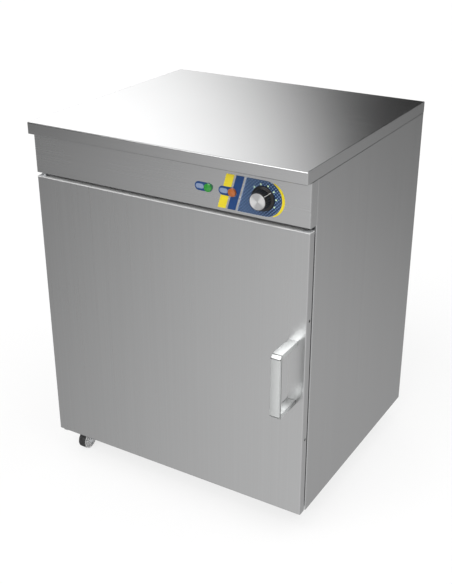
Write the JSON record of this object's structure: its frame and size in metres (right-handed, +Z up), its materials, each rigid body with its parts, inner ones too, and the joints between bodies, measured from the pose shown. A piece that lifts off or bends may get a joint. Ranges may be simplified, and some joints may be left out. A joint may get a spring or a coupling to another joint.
{
  "type": "plate warmer cabinet",
  "caption": "Low heated plate cabinet in brushed steel, with a side-hung door, a bar handle, a dial and pilot lamps on its fascia, a wire shelf inside and swivel casters.",
  "frame": {"origin": "on the floor, at the middle of the overall box", "axes": "+X to the right, -Y to the front where the door is, +Z up"},
  "size_m": [0.45, 0.452, 0.57],
  "materials": {
    "casing_steel": "satin, fine brushing lines",
    "inner_steel": "satin, plain rolled sheet",
    "zinc_plate": "bright zinc plated",
    "handle_steel": "satin, brushed along the bar",
    "shelf_wire": "polished wire",
    "mineral_wool": "matted mineral wool",
    "element_sheath": "heat-tinted steel sheath",
    "black_plastic": "fine moulded texture",
    "hub_plastic": "moulded",
    "tread_rubber": "smooth tread",
    "gasket_rubber": "extruded silicone",
    "film_blue": "printed film",
    "film_yellow": "printed film",
    "green_lens": "tinted lens",
    "amber_lens": "tinted lens",
    "cap_aluminium": "turned face",
    "copper_tube": "drawn tube",
    "control_case": "moulded",
    "terminal_plastic": "moulded",
    "corner_plastic": "moulded"
  },
  "bodies": {
    "cabinet": {"worktop": "casing_steel", "side_panel_left": "casing_steel", "side_panel_right": "casing_steel", "rear_panel": "inner_steel", "base_pan": "zinc_plate", "control_fascia": "casing_steel", "dial_film": "film_blue", "stripe_film": "film_yellow", "front_frame": "inner_steel", "liner_wrap": "inner_steel", "liner_rear": "inner_steel", "liner_floor": "inner_steel", "wall_insulation": "mineral_wool", "shelf_rails": "inner_steel", "wire_shelf": "shelf_wire", "heating_element": "element_sheath", "retaining_clips": "zinc_plate", "heater_cover": "inner_steel", "thermostat_body": "control_case", "thermostat_bulb": "copper_tube", "green_lens": "green_lens", "amber_lens": "amber_lens", "lamp_holders": "black_plastic", "terminal_block": "terminal_plastic", "cable_gland": "black_plastic", "gland_nut": "black_plastic", "hinge_brackets": "zinc_plate", "hinge_pins": "zinc_plate", "magnet_catch": "terminal_plastic", "panel_screws": "zinc_plate", "caster_plates": "zinc_plate", "caster_bolts": "zinc_plate"},
    "door": {"door_skin": "casing_steel", "door_liner": "inner_steel", "door_insulation": "mineral_wool", "door_gasket": "gasket_rubber", "corner_blocks": "corner_plastic", "strike_plate": "zinc_plate", "door_rivets": "zinc_plate", "door_handle": "handle_steel", "handle_screws": "zinc_plate"},
    "control_knob": {"thermostat_shaft": "zinc_plate", "knob": "black_plastic", "knob_cap": "cap_aluminium"},
    "caster_front_left": {"fork_front_left": "zinc_plate", "axle_front_left": "zinc_plate"},
    "wheel_front_left": {"hub_front_left": "hub_plastic", "tyre_front_left": "tread_rubber"},
    "caster_front_right": {"fork_front_right": "zinc_plate", "axle_front_right": "zinc_plate"},
    "wheel_front_right": {"hub_front_right": "hub_plastic", "tyre_front_right": "tread_rubber"},
    "caster_rear_left": {"fork_rear_left": "zinc_plate", "axle_rear_left": "zinc_plate"},
    "wheel_rear_left": {"hub_rear_left": "hub_plastic", "tyre_rear_left": "tread_rubber"},
    "caster_rear_right": {"fork_rear_right": "zinc_plate", "axle_rear_right": "zinc_plate"},
    "wheel_rear_right": {"hub_rear_right": "hub_plastic", "tyre_rear_right": "tread_rubber"}
  },
  "joints": [
    {"name": "door_hinge", "type": "hinge", "parent": "cabinet", "child": "door", "pos_m": [-0.21538, -0.1702, 0.2643], "axis": [0, 0, -1], "range_deg": [0, 200]},
    {"name": "knob_turn", "type": "hinge", "parent": "cabinet", "child": "control_knob", "pos_m": [0.1568, -0.176, 0.5207], "axis": [0, 1, 0], "range_deg": [-196, 102]},
    {"name": "swivel_front_left", "type": "hinge", "parent": "cabinet", "child": "caster_front_left", "pos_m": [-0.193, -0.132, 0.0368], "axis": [0, 0, 1], "continuous": true},
    {"name": "roll_front_left", "type": "hinge", "parent": "caster_front_left", "child": "wheel_front_left", "pos_m": [-0.193, -0.147, 0.015], "axis": [1, 0, 0], "continuous": true},
    {"name": "swivel_front_right", "type": "hinge", "parent": "cabinet", "child": "caster_front_right", "pos_m": [0.193, -0.132, 0.0368], "axis": [0, 0, 1], "continuous": true},
    {"name": "roll_front_right", "type": "hinge", "parent": "caster_front_right", "child": "wheel_front_right", "pos_m": [0.193, -0.117, 0.015], "axis": [1, 0, 0], "continuous": true},
    {"name": "swivel_rear_left", "type": "hinge", "parent": "cabinet", "child": "caster_rear_left", "pos_m": [-0.193, 0.19, 0.0368], "axis": [0, 0, 1], "continuous": true},
    {"name": "roll_rear_left", "type": "hinge", "parent": "caster_rear_left", "child": "wheel_rear_left", "pos_m": [-0.193, 0.175, 0.015], "axis": [1, 0, 0], "continuous": true},
    {"name": "swivel_rear_right", "type": "hinge", "parent": "cabinet", "child": "caster_rear_right", "pos_m": [0.193, 0.19, 0.0368], "axis": [0, 0, 1], "continuous": true},
    {"name": "roll_rear_right", "type": "hinge", "parent": "caster_rear_right", "child": "wheel_rear_right", "pos_m": [0.193, 0.175, 0.015], "axis": [1, 0, 0], "continuous": true}
  ]
}
